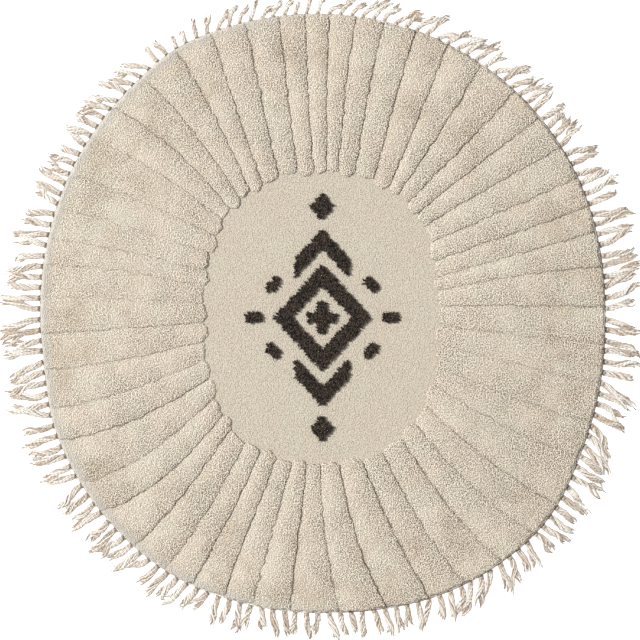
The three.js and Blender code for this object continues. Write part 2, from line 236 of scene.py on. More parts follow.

# How sharply the grooves are cut round the rug, which also sets how much painted shade they get: those
# on the left lie almost closed.
CREASES = columns(("at", "outer", "inner"), (
    (2, 0.55, 0.3), (12, 0.65, 0.35), (22, 0.9, 0.45), (35, 0.7, 0.7), (50, 0.9, 1), (65, 1, 1),
    (80, 1, 0.9), (98, 0.9, 0.9), (108, 0.8, 0.7), (119, 0.9, 0.6), (128, 0.55, 0.4),
    (138, 0.35, 0.3), (165, 0.25, 0.15), (178, 0.35, 0.2), (200, 0.5, 0.4), (215, 0.7, 0.6),
    (230, 1, 0.7), (256, 1, 1), (275, 0.9, 0.9), (290, 1, 1), (302, 0.8, 0.7), (315, 0.6, 0.5),
    (326, 0.45, 0.3), (340, 0.3, 0.25), (352, 0.45, 0.25),
))

# How the tassels lie: their lean from straight out, counterclockwise, their length and fullness.
SWEEP = columns(("at", "lean", "length", "fullness"), (
    (0, 4, 60, 1), (8, 32, 66, 1), (17, 0, 64, 1), (28, -12, 54, 1), (38, 12, 44, 0.9),
    (49, -40, 48, 0.85), (62, -54, 46, 0.75), (76, -62, 44, 0.65), (86, -62, 38, 0.55),
    (95, -38, 27, 0.55), (104, -58, 36, 0.55), (112, -52, 38, 0.6), (118, -6, 24, 0.65),
    (126, 58, 46, 0.7), (134, 46, 46, 0.9), (148, 6, 45, 1), (164, 14, 54, 1),
    (178, 6, 68, 1), (189, 8, 70, 1),
    (202, -26, 62, 1), (216, 2, 54, 1), (236, -36, 54, 1), (250, -3, 46, 0.95),
    (267, 16, 43, 0.9), (284, -8, 43, 0.9), (301, -48, 52, 0.9), (318, 4, 48, 1),
    (334, -22, 58, 1), (347, -12, 60, 1),
))


# Small sums.
def mix(low, high, share):
    return low + (high - low) * share


def smooth_step(value, low=0.0, high=1.0):
    share = np.clip((value - low) / (high - low), 0, 1)
    return share * share * (3 - 2 * share)


def spread(index, use):
    """An even spread of numbers from 0 to 1 that looks irregular."""
    return np.mod(index * 0.61803399 + use * 0.7548777, 1.0)


def directions(angle):
    """Unit vectors in the floor plane at angles in degrees."""
    return np.stack([np.cos(np.radians(angle)), np.sin(np.radians(angle))], -1)


def scatter(cells, use):
    """A number from 0 to 1 for each whole-numbered cell in space, the same in every run."""
    cells = cells.astype(np.uint64)
    mixed = cells[..., 0] * np.uint64(73856093)
    mixed = mixed ^ (cells[..., 1] * np.uint64(19349663))
    mixed = mixed ^ (cells[..., 2] * np.uint64(83492791))
    mixed = mixed + np.uint64(2654435761 * (use + 1))
    for shift in (15, 13):
        mixed = (mixed ^ (mixed >> np.uint64(shift))) * np.uint64(0x2C1B3C6D9E3779B9)
    return ((mixed >> np.uint64(40)) & np.uint64(0xFFFFFF)).astype(float) / 0xFFFFFF


def smooth_noise(points, size, use):
    """Soft noise from -1 to 1 whose lumps are about size across."""
    scaled = points / size
    low = np.floor(scaled).astype(np.int64)
    share = smooth_step(scaled - low)
    total = np.zeros(points.shape[:-1])
    for corner in np.ndindex(2, 2, 2):
        weight = np.prod(np.where(corner, share, 1 - share), -1)
        total += weight * scatter(low + np.array(corner), use)
    return 2 * total - 1


def layered_noise(points, use, layers, step=1):
    """Soft noise added up from layers, each with a size and a height."""
    uses = range(use, use + step * len(layers), step)
    rows = zip(uses, layers, strict=True)
    return sum(height * smooth_noise(points, size, one) for one, (size, height) in rows)


def profile(rows, along):
    """Reads rows of a place and a value at places along."""
    return np.interp(along, *np.transpose(rows))


def tuft_cells(plan, size, use):
    """For each point seen from above its distance from the nearest tuft, in tuft sizes."""
    scaled = plan / size
    low = np.floor(scaled).astype(np.int64)
    nearest = np.full(plan.shape[:-1], 9.0)
    for corner in np.ndindex(3, 3):
        cell = low + np.array(corner) - 1
        cell = np.concatenate([cell, np.zeros((*cell.shape[:-1], 1), np.int64)], -1)
        middle = np.stack([scatter(cell, use + axis) for axis in range(2)], -1)
        distance = np.linalg.norm(cell[..., :2] + middle - scaled, axis=-1)
        nearest = np.minimum(nearest, distance)
    return nearest


# The plan of the rug: its rim, its oval and its ribs.
def read_round(table, column, angle):
    """Reads a column of a table round the rug at angles, smoothly between the rows."""
    turned = np.mod(angle, 360.0)
    count = len(table["at"])
    following = np.searchsorted(table["at"], turned, side="right")

    def row(offset):
        index = following + offset
        return table["at"][index % count] + 360.0 * (index // count), table[column][index % count]

    (at_before, before), (at_from, start), (at_to, end), (at_after, after) = map(row, (-2, -1, 0, 1))
    share = (turned - at_from) / (at_to - at_from)
    slope_from = (end - before) / (at_to - at_before) * (at_to - at_from)
    slope_to = (after - start) / (at_after - at_from) * (at_to - at_from)
    swing = share * (1 - share) * ((1 - share) * slope_from - share * slope_to)
    return mix(start, end, smooth_step(share)) + swing


def rim_radius(angle):
    return read_round(RIM, "radius", angle)


def field_radius(angle):
    """The oval's edge, as a distance from the middle of the rug, found by halving."""
    way = directions(angle)
    low = np.zeros(np.shape(angle))
    high = low + FIELD_HALF_WIDTH + FIELD_HALF_HEIGHT
    for _ in range(30):
        middle = (low + high) / 2
        x = np.abs(middle * way[..., 0] - FIELD_X) / FIELD_HALF_WIDTH
        y = np.abs(middle * way[..., 1] - FIELD_Y) / FIELD_HALF_HEIGHT
        inside = x**FIELD_ROUNDNESS + y**FIELD_ROUNDNESS < 1
        low = np.where(inside, middle, low)
        high = np.where(inside, high, middle)
    return low


def groove_angle(index, share):
    """The angle of a groove a share of the way from the oval to the rim."""
    field, middle, rim = (GROOVES[name][index % RIBS] for name in ("field", "middle", "rim"))
    wander = 4 * share * (1 - share) * (middle - (field + rim) / 2)
    return mix(field, rim, share) + wander + 360.0 * (index // RIBS)


def rib_angle(rib, across, share):
    return mix(groove_angle(rib, share), groove_angle(rib + 1, share), (across + 1) / 2)


def rib_end_radius(rib, across):
    reach = END_UNEVENNESS * (2 * spread(rib, 2) - 1) * (1 - across**2)
    return field_radius(rib_angle(rib, across, 0.0)) - SCALLOP_DEPTH * np.sqrt(1 - across**2) + reach


# Meshes from arrays.
def add_piece(name, points, faces, finish, values=None, around=None):
    """Adds a mesh from points in millimetres and faces grouped by their number of corners.
    values are numbers for each point by name, and around is a map coordinate for each face corner."""
    mesh = bpy.data.meshes.new(name)
    corners = np.concatenate([group.ravel() for group in faces])
    sizes = np.concatenate([np.full(len(group), group.shape[1]) for group in faces])
    mesh.vertices.add(len(points))
    mesh.vertices.foreach_set("co", (points * MM).astype(np.float32).ravel())
    mesh.loops.add(len(corners))
    mesh.loops.foreach_set("vertex_index", corners.astype(np.int32))
    mesh.polygons.add(len(sizes))
    mesh.polygons.foreach_set("loop_start", (np.cumsum(sizes) - sizes).astype(np.int32))
    mesh.update(calc_edges=True)
    mesh.shade_smooth()
    for key, numbers in (values or {}).items():
        layer = mesh.attributes.new(key, "FLOAT", "POINT")
        layer.data.foreach_set("value", numbers.astype(np.float32).ravel())
    if around is not None:
        layer = mesh.uv_layers.new(name="yarn")
        layer.data.foreach_set("uv", np.concatenate(around).astype(np.float32).ravel())
    piece = bpy.data.objects.new(name, mesh)
    bpy.context.scene.collection.objects.link(piece)
    mesh.materials.append(finish)
    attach(piece, "root")
    return piece


def lattice_quads(numbers):
    """Quads between neighbouring points of a table of point numbers, facing up the lattice's normal."""
    corners = [numbers[:-1, :-1], numbers[:-1, 1:], numbers[1:, 1:], numbers[1:, :-1]]
    return np.stack(corners, -1).reshape(-1, 4)


# The pile.
def pile_rows():
    """The rows of the pile's lattice, from the rim's foot over the top to the oval's foot."""
    turn = np.linspace(0, math.pi / 2, WALL_ROWS, endpoint=False)
    share = np.concatenate([np.ones(WALL_ROWS), np.linspace(1, 0, TOP_ROWS), np.zeros(WALL_ROWS)])
    rise = np.concatenate([np.sin(turn), np.ones(TOP_ROWS), np.sin(turn)[::-1]])
    rim_inset = np.concatenate([1 - np.cos(turn), np.ones(TOP_ROWS + WALL_ROWS)]) * RIM_ROUNDING
    end_inset = np.concatenate([np.ones(TOP_ROWS + WALL_ROWS), 1 - np.cos(turn)[::-1]]) * END_ROUNDING
    return share, rise, rim_inset, end_inset


def pile_lattice():
    """Points all over the ribbed pile before its relief, row by row. With them come how far each lies
    across its rib, from -1 to 1 in its two grooves, and how open those grooves are."""
    step = np.linspace(-1, 1, COLUMNS_PER_RIB, endpoint=False)
    across = np.tile(np.sign(step) * (1 - (1 - np.abs(step)) ** COLUMN_CROWDING), RIBS)
    rib = np.repeat(np.arange(RIBS), COLUMNS_PER_RIB)
    end = rib_end_radius(rib, across)
    share, rise, rim_inset, end_inset = (row[:, None] for row in pile_rows())
    rim = rim_radius(rib_angle(rib, across, 1.0))
    radius = mix(end + end_inset, rim - rim_inset, share)
    angle = rib_angle(rib, across, np.clip((radius - end) / (rim - end), 0, 1))
    plan = directions(angle) * radius[..., None]
    crown = PILE_CROWN + CROWN_VARIATION * (2 * spread(rib, 1) - 1)
    at_rim = np.clip((share - RIM_DROP_FROM) / (1 - RIM_DROP_FROM), 0, 1)
    crown = crown - END_DROP * (1 - share) ** 4 - RIM_DROP * at_rim**2
    open_share = mix(read_round(CREASES, "inner", angle), read_round(CREASES, "outer", angle), share)
    depth = mix(SHALLOW_GROOVE_DEPTH, GROOVE_DEPTH, open_share)
    height = crown - RIB_BULGE * across**2 - depth * np.abs(across) ** GROOVE_SHARPNESS
    height = GROUND_THICKNESS + (height - GROUND_THICKNESS) * rise
    points = np.concatenate([plan, height[..., None]], -1)
    return points, np.broadcast_to(across, height.shape), open_share, rise


def lattice_normals(points):
    """Unit normals of a lattice that closes on itself along its rows."""
    along = np.roll(points, -1, 1) - np.roll(points, 1, 1)
    down = np.gradient(points, axis=0)
    normals = np.cross(along, down)
    return normals / np.linalg.norm(normals, axis=-1, keepdims=True)


def pile_relief(points, across, rise):
    """How far tufts, lumps and partings raise each point, and painted shade for how deep it lies between
    tufts and in partings.
    """
    distance = tuft_cells(points[..., :2], TUFT_SIZE, 10)
    lumps = layered_noise(points, 20, LUMP_LAYERS)
    lumps = lumps * np.clip(rise, LUMPS_ON_WALLS, 1) * (1 - 0.5 * np.abs(across) ** 3)
    ridge = np.abs(layered_noise(points, 22, PARTING_LAYERS))
    where = smooth_step(smooth_noise(points, PARTING_SPACING, 24), 0.15, 0.5)
    parting = (1 - smooth_step(ridge, 0.0, PARTING_WIDTH)) * where
    relief = TUFT_RELIEF * (0.45 - distance) + lumps - PARTING_DEPTH * parting
    # The second value is painted shade between tufts and in partings.
    return relief, np.maximum(smooth_step(distance, 0.5, 0.9), 0.5 * parting)


def groove_shade_share(points, across, open_share):
    """How much painted shade each point gets for lying in a groove, from 0 to 1. The painted shade is
    broken here and there.
    """
    broken = mix(0.15, 1.0, smooth_step(smooth_noise(points, GROOVE_SHADE_BREAK, 25), -0.45, 0.4))
    broken *= mix(0.7, 1.0, smooth_step(smooth_noise(points, GROOVE_SHADE_BREAK / 3, 26), -0.4, 0.2))
    return smooth_step(np.abs(across), *GROOVE_SHADE_SPAN) * broken * open_share


def pile_grain_and_shade(points, across, open_share, rise):
    """How rough the pile looks, with painted shade in its grain, and a painted lit band on the left of
    the rim.
    """
    angle = np.degrees(np.arctan2(points[..., 1], points[..., 0]))
    to_right = np.cos(np.radians(angle))
    # Painted shade in the grain: more to the right, on flanks that face away from the light and towards
    # the grooves.
    facing_light = across * np.cos(np.radians(angle + 90 - PAINTED_LIGHT_AZIMUTH)) * (1 - across**8)
    grain_and_shade = ROUGHNESS + layered_noise(points, 27, ROUGH_LAYERS) + SHADE_TO_RIGHT * to_right
    grain_and_shade += SHADE_AT_GROOVES * across**6 * open_share - SHADE_AWAY_FROM_LIGHT * facing_light
    row = np.arange(len(rise))[:, None]
    # Painted light on the left of the rim and painted shade on the right.
    at_rim = mix(*RIM_LIGHT_AND_SHADE, smooth_step(to_right, -0.5, 0.5))
    at_rim = mix(at_rim, 1.0, smooth_step(rise, 0.5, 1.1))
    # Painted shade darkens the grain down the rib ends' walls towards their foot.
    grain_and_shade *= np.where(row < WALL_ROWS + RIM_ROWS, at_rim, mix(END_FOOT_SHADE, 1.0, rise))
    # A painted lit band on the left of the rim, where the light falls.
    lit_rim_band = 1 - smooth_step(row, WALL_ROWS, WALL_ROWS + LIT_BAND_ROWS)
    return np.clip(grain_and_shade, 0, ROUGHEST), lit_rim_band * (1 - smooth_step(to_right, -0.6, 0.2))


def make_pile(finish):
    """The ribbed pile, in pieces of ten ribs that part in a groove."""
    points, across, open_share, rise = pile_lattice()
    wander = np.stack([layered_noise(points, use, WANDER_LAYERS, step=2) for use in (1, 2)], -1)
    wander *= mix(WANDER_AT_FOOT, 1.0, rise)[..., None]
    row = np.arange(len(rise))[:, None]
    inward = smooth_step(np.minimum(row, row[::-1]), WALL_ROWS, WALL_ROWS + RAGGED_ROWS)
    ragged = layered_noise(points, 5, RAGGED_LAYERS) * (1 - inward)
    way = points[..., :2] / np.linalg.norm(points[..., :2], axis=-1, keepdims=True)
    points[..., :2] += wander + ragged[..., None] * way
    relief, pit_shade = pile_relief(points, across, rise)
    grain_and_shade, lit_rim_band = pile_grain_and_shade(points, across, open_share, rise)
    # Painted shade in the grooves.
    groove_shade = groove_shade_share(points, across, open_share)
    looks = {"pit_shade": pit_shade, "groove_shade": groove_shade, "grain_and_shade": grain_and_shade, "lit_rim_band": lit_rim_band}
    relief[[0, -1]] = 0
    points = points + lattice_normals(points) * relief[..., None]
    points[[0, -1], :, 2] = GROUND_THICKNESS - PILE_ROOT_DEPTH
    points[1:-1, :, 2] = np.maximum(points[1:-1, :, 2], GROUND_THICKNESS + LEAST_PILE)
    pieces = []
    for number, first in enumerate(range(0, RIBS, RIBS_PER_PIECE)):
        start = first * COLUMNS_PER_RIB
        chosen = np.arange(start, start + RIBS_PER_PIECE * COLUMNS_PER_RIB + 1) % points.shape[1]
        shown = {key: numbers[:, chosen] for key, numbers in looks.items()}
        pieces.append(add_pile_piece(f"pile_{number + 1}", points[:, chosen], shown, finish))
    return pieces


def add_pile_piece(name, points, looks, finish):
    """One closed stretch of pile. Its two cut sides go straight down, and its back is flat."""
    rows, across = points.shape[:2]
    numbers = np.arange(rows * across).reshape(rows, across)
    faces = [lattice_quads(numbers)]
    extra = []
    foot = {}
    count = rows * across
    for side in (0, across - 1):
        below = points[1:-1, side].copy()
        below[:, 2] = GROUND_THICKNESS - PILE_ROOT_DEPTH
        extra.append(below)
        foot[side] = np.concatenate([numbers[:1, side], np.arange(rows - 2) + count, numbers[-1:, side]])
        count += rows - 2
        upper = np.stack([numbers[:, side], foot[side]])
        wall = lattice_quads(upper if side == 0 else upper[::-1])
        faces.append(wall[1:-1])
        # The first and the last have one corner twice, so they are triangles.
        faces.append(np.array([list(dict.fromkeys(face)) for face in wall[[0, -1]]]))
    loop = np.concatenate([numbers[0], foot[across - 1][1:], numbers[-1, ::-1][1:], foot[0][::-1][1:-1]])
    faces.append(loop[::-1][None])
    all_points = np.concatenate([points.reshape(-1, 3), *extra])
    hidden = np.ones(len(all_points) - rows * across)
    values = {key: np.concatenate([numbers.ravel(), hidden]) for key, numbers in looks.items()}
    return add_piece(name, all_points, faces, finish, values)


# The ground cloth.
def make_ground(finish):
    """The ground cloth: one closed sheet as wide as the rug, softly uneven where it shows."""
    angle = np.arange(GROUND_COLUMNS) * 360.0 / GROUND_COLUMNS
    rim = rim_radius(angle)
    turn = np.linspace(0, math.pi, HEM_STEPS)
    edge_radius = rim - HEM_ROUNDING * (1 - np.sin(turn))[:, None]
    edge_height = GROUND_THICKNESS * (1 - np.cos(turn)) / 2
    top_share = np.linspace(1, 0, GROUND_RINGS, endpoint=False)[1:, None]
    radius = np.concatenate([edge_radius, (rim - HEM_ROUNDING) * top_share])
    height = np.concatenate([edge_height, np.full(len(top_share), GROUND_THICKNESS)])
    plan = directions(angle) * radius[..., None]
    points = np.concatenate([plan, np.broadcast_to(height[:, None, None], (*plan.shape[:2], 1))], -1)
    shown = smooth_step(field_radius(angle) - radius, -4, 8)
    points[..., 2] += layered_noise(points, 30, GROUND_LAYERS) * shown
    rings, across = points.shape[:2]
    numbers = np.arange(rings * across).reshape(rings, across)
    closed = np.concatenate([numbers, numbers[:, :1]], 1)
    centres = np.array([[0, 0, GROUND_THICKNESS + GROUND_CENTRE_RISE], [0, 0, 0]])
    top, bottom = np.full((2, across), rings * across) + [[0], [1]]
    top_fan = np.stack([closed[-1, :-1], closed[-1, 1:], top], -1)
    bottom_fan = np.stack([closed[0, 1:], closed[0, :-1], bottom], -1)
    faces = [lattice_quads(closed), np.concatenate([top_fan, bottom_fan])]
    return add_piece("ground_cloth", np.concatenate([points.reshape(-1, 3), centres]), faces, finish)


# Yarn and other round threads.
def tubes(paths, radii, sides, ridges=0.0, ridge_turns=0.0):
    """Closed tubes along many paths of equally many points. Returns points, faces by their number of
    corners, and the map coordinates of the faces' corners: once round, and millimetres along."""
    count, steps = paths.shape[:2]
    tangent = np.gradient(paths, axis=1)
    tangent /= np.linalg.norm(tangent, axis=-1, keepdims=True)
    side = np.cross([0.0, 0.0, 1.0], tangent)
    side /= np.maximum(np.linalg.norm(side, axis=-1, keepdims=True), 1e-9)
    up = np.cross(tangent, side)
    turn = np.arange(sides) * 2 * math.pi / sides
    way = side[:, :, None] * np.cos(turn)[:, None] + up[:, :, None] * np.sin(turn)[:, None]
    along = np.linspace(0, 2 * math.pi * ridge_turns, steps)[:, None]
    swell = 1 + ridges * np.cos(2 * turn - along)
    points = paths[:, :, None] + way * (radii[:, :, None] * swell)[..., None]
    numbers = np.arange(count * steps * sides).reshape(count, steps, sides)
    following = np.roll(numbers, -1, 2)
    quads = np.stack([numbers[:, :-1], following[:, :-1], following[:, 1:], numbers[:, 1:]], -1)
    caps = np.concatenate([numbers[:, 0, ::-1], numbers[:, -1]])
    lengths = np.linalg.norm(np.diff(paths, axis=1), axis=-1)
    passed = np.concatenate([np.zeros((count, 1)), np.cumsum(lengths, 1)], 1)
    quad_map = np.empty((*quads.shape, 2))
    quad_map[..., 0] = (np.arange(sides)[:, None] + [0, 1, 1, 0]) / sides
    quad_map[..., :2, 1] = passed[:, :-1, None, None]
    quad_map[..., 2:, 1] = passed[:, 1:, None, None]
    cap_map = np.zeros((*caps.shape, 2))
    faces = [quads.reshape(-1, 4), caps]
    return points.reshape(-1, 3), faces, [quad_map.reshape(-1, 2), cap_map.reshape(-1, 2)]


class Bundle:
    """Tubes gathered for one piece, with a tone and a shade for each of their points."""

    def __init__(self):
        self.points, self.faces, self.maps, self.tone, self.shade = [], {}, {}, [], []
        self.count = 0

    def add(self, made, tone, shade):
        points, faces, maps = made
        points[:, 2] = np.maximum(points[:, 2], 0.05)
        for group, around in zip(faces, maps, strict=True):
            self.faces.setdefault(group.shape[1], []).append(group + self.count)
            self.maps.setdefault(group.shape[1], []).append(around)
        self.points.append(points)
        self.tone.append(np.broadcast_to(tone, len(points)))
        self.shade.append(np.broadcast_to(shade, len(points)))
        self.count += len(points)

    def piece(self, name, finish):
        faces = [np.concatenate(self.faces[size]) for size in self.faces]
        around = [np.concatenate(self.maps[size]) for size in self.maps]
        values = {"tone": np.concatenate(self.tone), "shade": np.concatenate(self.shade)}
        return add_piece(name, np.concatenate(self.points), faces, finish, values, around)


# The fringe.
def tassel_angle(index):
    return 360.0 * (index + 0.5) / TASSEL_COUNT


def tassel_fullness(index):
    return read_round(SWEEP, "fullness", tassel_angle(index))


def hem_line(angle):
    """The middle of the stitches that hold the tassels, beside the cloth's edge."""
    return directions(angle) * (rim_radius(angle) + STRIP_OFFSET + STRIP_WIDTH / 2)[:, None]


def tassel_paths(index, along):
    """The centre lines of tassels on the floor, and the direction in which they run at each point."""
    at = tassel_angle(index)
    pair = index >> 1
    to_mate = np.where(index % 2, -1, 1)
    lean = read_round(SWEEP, "lean", at) + to_mate * PAIR_LEAN * (0.4 + spread(pair, 3))
    lean = lean + PAIR_SWING * (spread(pair, 9) - 0.5)
    length = read_round(SWEEP, "length", at) * (SHORTEST + LENGTH_SPREAD * spread(index, 4))
    fine = np.linspace(0, 1, TASSEL_STEPS + 1)
    clump = to_mate * CLUMPING * (spread(pair, 7) - 0.25)
    curl = CURL * (spread(index, 5) - 0.5)[:, None] * (fine - 0.4)
    sway = SWAY * np.sin(2 * math.pi * (0.85 * fine + spread(index, 8)[:, None])) * fine
    heading = (at + clump)[:, None] + lean[:, None] * mix(LEAN_AT_ROOT, 1.0, fine) + curl + sway
    way = directions(heading)
    steps = (way[:, 1:] + way[:, :-1]) / 2 * (length / TASSEL_STEPS)[:, None, None]
    travelled = np.concatenate([np.zeros((len(index), 1, 2)), np.cumsum(steps, 1)], 1)
    line = hem_line(at)[:, None] + travelled
    place = np.stack([[np.interp(along, fine, one[:, k]) for k in (0, 1)] for one in line])
    turned = np.stack([np.interp(along, fine, one) for one in heading])
    return place.transpose(0, 2, 1), turned


def add_yarns(bundle, index, random):
    """The loose yarns of the tassels of one run, from the hem through the knot to their cut ends.
    They wind slowly round each other, and some tassels part into two locks."""
    along = np.linspace(0, 1, YARN_POINTS) ** 0.9
    centre, heading = tassel_paths(index, along)
    sideways = directions(heading + 90)
    count = len(index)
    full = tassel_fullness(index)[:, None]
    turns = (random.uniform(*TASSEL_TURNS, count) * random.choice([-1, 1], count))[:, None]
    first = random.uniform(0, 1, count)[:, None]
    split = (random.uniform(0, 1, count) > UNSPLIT_SHARE) * random.uniform(*LOCK_SPLIT, count)
    split = split[:, None] * smooth_step(along, 0.3, 0.9)
    loose = smooth_step(along, 0.15, 0.5)
    ends = smooth_step(along, 0.7, 1.0)
    knot = 1 - smooth_step(along, 0.08, 0.25)
    thick = YARN_RADIUS * mix(0.7, 1.0, full)
    for yarn in range(YARNS_PER_TASSEL):
        turn = 2 * math.pi * (first + yarn / YARNS_PER_TASSEL + turns * along)
        side = np.sign(np.cos(turn[:, -1:]))
        crimp = random.uniform(*CRIMP, count)[:, None]
        waves = random.uniform(*CRIMP_WAVES, count)[:, None] * along
        crimp = crimp * np.sin(2 * math.pi * (waves + random.uniform(0, 1, count)[:, None]))
        stray = random.normal(0, END_SPREAD, count)[:, None] * ends
        round_middle = np.cos(turn) * profile(BUNDLE_PROFILE, along)
        offset = full * (round_middle + side * split + (crimp + stray) * loose)
        reach = random.uniform(*YARN_REACH, count)
        point = mix(centre[:, :1], centre, reach[:, None, None]) + sideways * offset[..., None]
        layer = 0.5 + 0.5 * np.sin(turn)
        radii = thick * random.uniform(*YARN_VARIATION, count)[:, None] * profile(YARN_PROFILE, along)
        height = mix(thick * (1 + 1.4 * layer), 2.6 + 0.4 * layer, knot)
        height = np.maximum(mix(height, thick * (1 + 0.6 * layer), ends), radii + 0.1)
        paths = np.concatenate([point, height[..., None]], -1)
        tone = np.repeat(random.uniform(0, 1, count), YARN_POINTS * YARN_SIDES)
        shade = np.repeat((0.75 * (1 - layer) * (1 - knot) + 0.3 * knot).ravel(), YARN_SIDES)
        bundle.add(tubes(paths, radii, YARN_SIDES), tone, shade)
        add_frayed_ends(bundle, paths, random)


def add_frayed_ends(bundle, paths, random):
    """Two fine fibres that stand out of each yarn's cut end."""
    end, before = paths[:, -1], paths[:, -2]
    way = (end - before) / np.linalg.norm(end - before, axis=-1, keepdims=True)
    for _ in range(2):
        length = random.uniform(*FRAY_LENGTH, len(end))[:, None]
        bend = random.normal(0, FRAY_BEND, (len(end), 3))
        share = np.linspace(0, 1, len(FRAY_RADII))[:, None]
        path = end[:, None] + (way[:, None] * share + bend[:, None] * share**2) * length[:, None]
        path[..., 2] = np.maximum(path[..., 2], 0.3)
        bundle.add(tubes(path, np.tile(FRAY_RADII, (len(end), 1)), 3), 0.9, 0.0)


def add_knots(bundle, index, random):
    """The overhand knot of each tassel: a lump with yarn wound round it."""
    along = np.linspace(KNOT_ALONG - 0.05, KNOT_ALONG + 0.06, len(KNOT_PROFILE))
    centre, _ = tassel_paths(index, along)
    paths = np.concatenate([centre, np.full((*centre.shape[:2], 1), KNOT_HEIGHT)], -1)
    radius = mix(*KNOT_RADIUS, tassel_fullness(index)) * random.uniform(0.9, 1.1, len(index))
    radii = radius[:, None] * np.array(KNOT_PROFILE)
    bundle.add(tubes(paths, radii, 8, ridges=0.14, ridge_turns=1.6), 0.3, 0.3)


def add_strays(bundle, index, random):
    """Fine loose threads that curl out of some tassels."""
    chosen = index[random.uniform(0, 1, len(index)) < STRAY_SHARE]
    along = np.linspace(0, 1, STRAY_POINTS)
    centre, heading = tassel_paths(chosen, along)
    sideways = directions(heading + 90)
    bow = random.normal(0, STRAY_BOW, len(chosen))[:, None] * along**1.6
    bow = bow + random.normal(0, 2.5, len(chosen))[:, None] * np.sin(7 * along)
    reach = random.uniform(0.7, 1.12, len(chosen))
    point = mix(centre[:, :1], centre, reach[:, None, None]) + sideways * bow[..., None]
    height = 0.5 + 2.4 * (1 - along) + 1.5 * np.sin(math.pi * along)
    paths = np.concatenate([point, np.broadcast_to(height[:, None], (*point.shape[:2], 1))], -1)
    bundle.add(tubes(paths, np.full(paths.shape[:2], STRAY_RADIUS), 3), 0.8, 0.0)


def add_hem_stitches(bundle, run):
    """The yarn sewn over the cloth's edge along one run, with a dip between one stitch and the next."""
    first = 360.0 * run / RUNS
    last = first + 360.0 / RUNS
    angle = np.linspace(first + RUN_CLEARANCE, last - RUN_CLEARANCE, 2 * STITCHES_PER_RUN + 1)
    height = np.full((len(angle), 1), STRIP_HEIGHT / 2 + 0.1)
    paths = np.concatenate([hem_line(angle), height], -1)[None]
    radii = np.where(np.arange(len(angle)) % 2, STITCH_RADIUS, STITCH_DIP_RADIUS)[None]
    bundle.add(tubes(paths, radii, 6), 0.9, 0.0)


def make_fringe(finish):
    """The twelve runs of the fringe, each one piece."""
    pieces = []
    for run in range(RUNS):
        random = np.random.default_rng(500 + run)
        index = np.arange(run * TASSELS_PER_RUN, (run + 1) * TASSELS_PER_RUN)
        bundle = Bundle()
        add_hem_stitches(bundle, run)
        add_yarns(bundle, index, random)
        add_knots(bundle, index, random)
        add_strays(bundle, index, random)
        piece = bundle.piece(f"tassels_{run + 1:02d}", finish)
        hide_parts(f"fringe_{run + 1:02d}")
        pieces.append(piece)
    return pieces


# The charcoal tufting.
def diamond(half_width, half_height):
    return np.array([[half_width, 0], [0, half_height], [-half_width, 0], [0, -half_height]], float)


def lozenge_band(half_width, half_height):
    slant = math.hypot(half_width, half_height)
    inner = diamond(half_width - STROKE * slant / half_height, half_height - STROKE * slant / half_width)
    return [diamond(half_width, half_height), inner]


def cross(far, near):
    corner = np.array([[far, -near], [far, near], [near, near]], float)
    turned = []
    for quarter in range(4):
        cosine, sine = directions(90.0 * quarter).round()
        turned.append(corner @ np.array([[cosine, sine], [-sine, cosine]]))
    return np.concatenate(turned)


def chevron(half_width, rise, thickness):
    top = [[half_width, 0], [half_width, thickness], [0, rise + thickness]]
    return np.array(top + [[-half_width, thickness], [-half_width, 0], [0, rise]], float)


def dash_outline(half_length, half_width):
    """A dash with its corners cut off, counterclockwise."""
    corner = 0.35 * half_width
    end = half_length - half_width + corner
    right = [[end, -half_width], [half_length, -corner], [half_length, corner], [end, half_width]]
    return np.array(right + [[-x, -y] for x, y in right], float)


def motif_patches():
    """Each patch of charcoal pile: its solid, its outlines, its place in the oval and its turn."""
    bar = dash_outline(**DASH)
    patches = [
        ("motif_lozenge", lozenge_band(**LOZENGE), 0, 0, 0),
        ("motif_cross", [cross(**CROSS)], 0, 0, 0),
    ]
    for end, side, turn in (("head", 1, 0), ("foot", -1, 180)):
        patches.append((f"motif_chevron_{end}", [chevron(**CHEVRON)], 0, side * CHEVRON_FROM, turn))
        patches.append((f"motif_diamond_{end}", [diamond(**TIP)], 0, side * TIP_FROM, turn))
    for place, side in (("right", 1), ("left", -1)):
        name = f"motif_dash_{place}"
        corner, turn = side * DASH_CORNER_X, side * DASH_TURN
        patches.append((f"{name}_upper", [bar], corner, DASH_CORNER_Y, -turn))
        patches.append((f"{name}_middle", [bar], side * DASH_BESIDE_X, 0, 0))
        patches.append((f"{name}_lower", [bar], corner, -DASH_CORNER_Y, turn))
    return patches


def inside_and_edge(points, outlines):
    """Whether points are inside outlines, how far from their edge, and the way out to it."""
    starts = np.concatenate(outlines)
    ends = np.concatenate([np.roll(outline, -1, 0) for outline in outlines])
    inside = np.zeros(len(points), bool)
    nearest = np.full(len(points), 1e9)
    out = np.zeros_like(points)
    for start, end in zip(starts, ends, strict=True):
        if start[1] != end[1]:
            crosses = (start[1] > points[:, 1]) != (end[1] > points[:, 1])
            at = mix(start[0], end[0], (points[:, 1] - start[1]) / (end[1] - start[1]))
            inside ^= crosses & (points[:, 0] < at)
        line = end - start
        share = np.clip(((points - start) @ line) / (line @ line), 0, 1)
        away = start + share[:, None] * line - points
        distance = np.linalg.norm(away, axis=-1)
        closer = distance < nearest
        out[closer] = away[closer] / np.maximum(distance[closer], 1e-6)[:, None]
        nearest = np.minimum(nearest, distance)
    return inside, nearest, out


